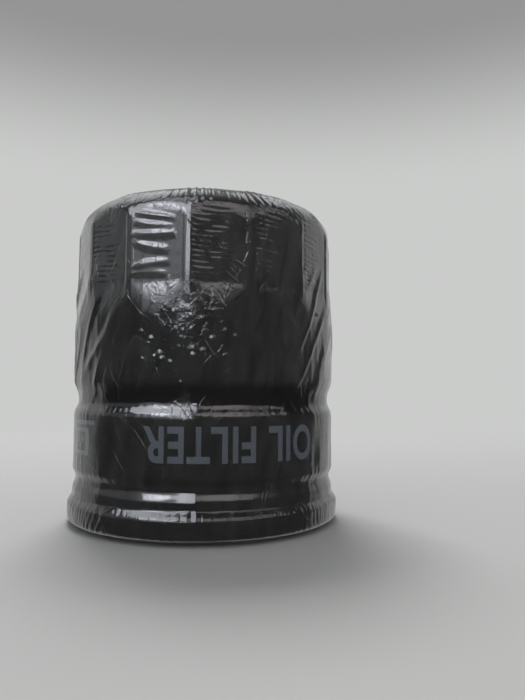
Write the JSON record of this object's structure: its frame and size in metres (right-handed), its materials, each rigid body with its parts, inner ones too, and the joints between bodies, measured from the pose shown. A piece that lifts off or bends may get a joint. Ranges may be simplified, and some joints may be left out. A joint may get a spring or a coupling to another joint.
{
  "type": "spin-on oil filter",
  "caption": "Spin-on oil filter: fluted sheet-steel can in clear film, tapped base plate, sealing gasket, pleated element, anti-drain and bypass valves.",
  "frame": {"origin": "centre of the gasket's sealing face, which is the lowest face, with the filter standing dome up", "axes": "+Z along the filter's axis from the engine to the dome, -Y towards the middle of the printed band"},
  "size_m": [0.0792, 0.0792, 0.0912],
  "materials": {
    "black_paint": "gloss black enamel",
    "zinc_steel": "zinc-plated sheet",
    "seal_compound": "cured sealing compound",
    "black_rubber": "moulded nitrile, matt",
    "plate_steel": "pressed steel, oiled",
    "flap_rubber": "moulded silicone, red-brown",
    "tinned_steel": "tinplate",
    "tube_steel": "perforated steel strip",
    "glue": "cured plastisol",
    "filter_paper": "resin-treated paper",
    "spring_steel": "drawn spring wire",
    "clear_film": "clear shrink film"
  },
  "bodies": {
    "housing": {"can": "black_paint", "seaming_lid": "zinc_steel", "seam_compound": "seal_compound", "gasket": "black_rubber", "base_plate": "plate_steel", "support_spring": "spring_steel", "shrink_film": "clear_film"},
    "element": {"lower_end_cap": "tinned_steel", "upper_end_cap": "tinned_steel", "center_tube": "tube_steel", "lower_glue_ring": "glue", "upper_glue_ring": "glue", "pleated_media": "filter_paper", "media_seam_clip": "tinned_steel", "bypass_cage": "tinned_steel", "bypass_spring": "spring_steel"},
    "bypass_poppet": {"bypass_plate": "tinned_steel", "bypass_seal": "black_rubber", "bypass_stem": "tinned_steel"},
    "anti_drain_flap": {"anti_drain_valve": "flap_rubber"}
  },
  "joints": [
    {"name": "element_float", "type": "slide", "parent": "housing", "child": "element", "axis": [0, 0, 1], "range_m": [0, 0.002], "stiffness_N_per_m": 8000, "springref_m": -0.008, "deforming": ["support_spring"]},
    {"name": "bypass_lift", "type": "slide", "parent": "element", "child": "bypass_poppet", "axis": [0, 0, -1], "range_m": [0, 0.0035], "stiffness_N_per_m": 1500, "springref_m": -0.008, "deforming": ["bypass_spring"]},
    {"name": "anti_drain_lift", "type": "slide", "parent": "housing", "child": "anti_drain_flap", "axis": [0, 0, 1], "range_m": [0, 0.0015], "stiffness_N_per_m": 200, "springref_m": -0.002, "deforming": ["anti_drain_valve"]}
  ]
}
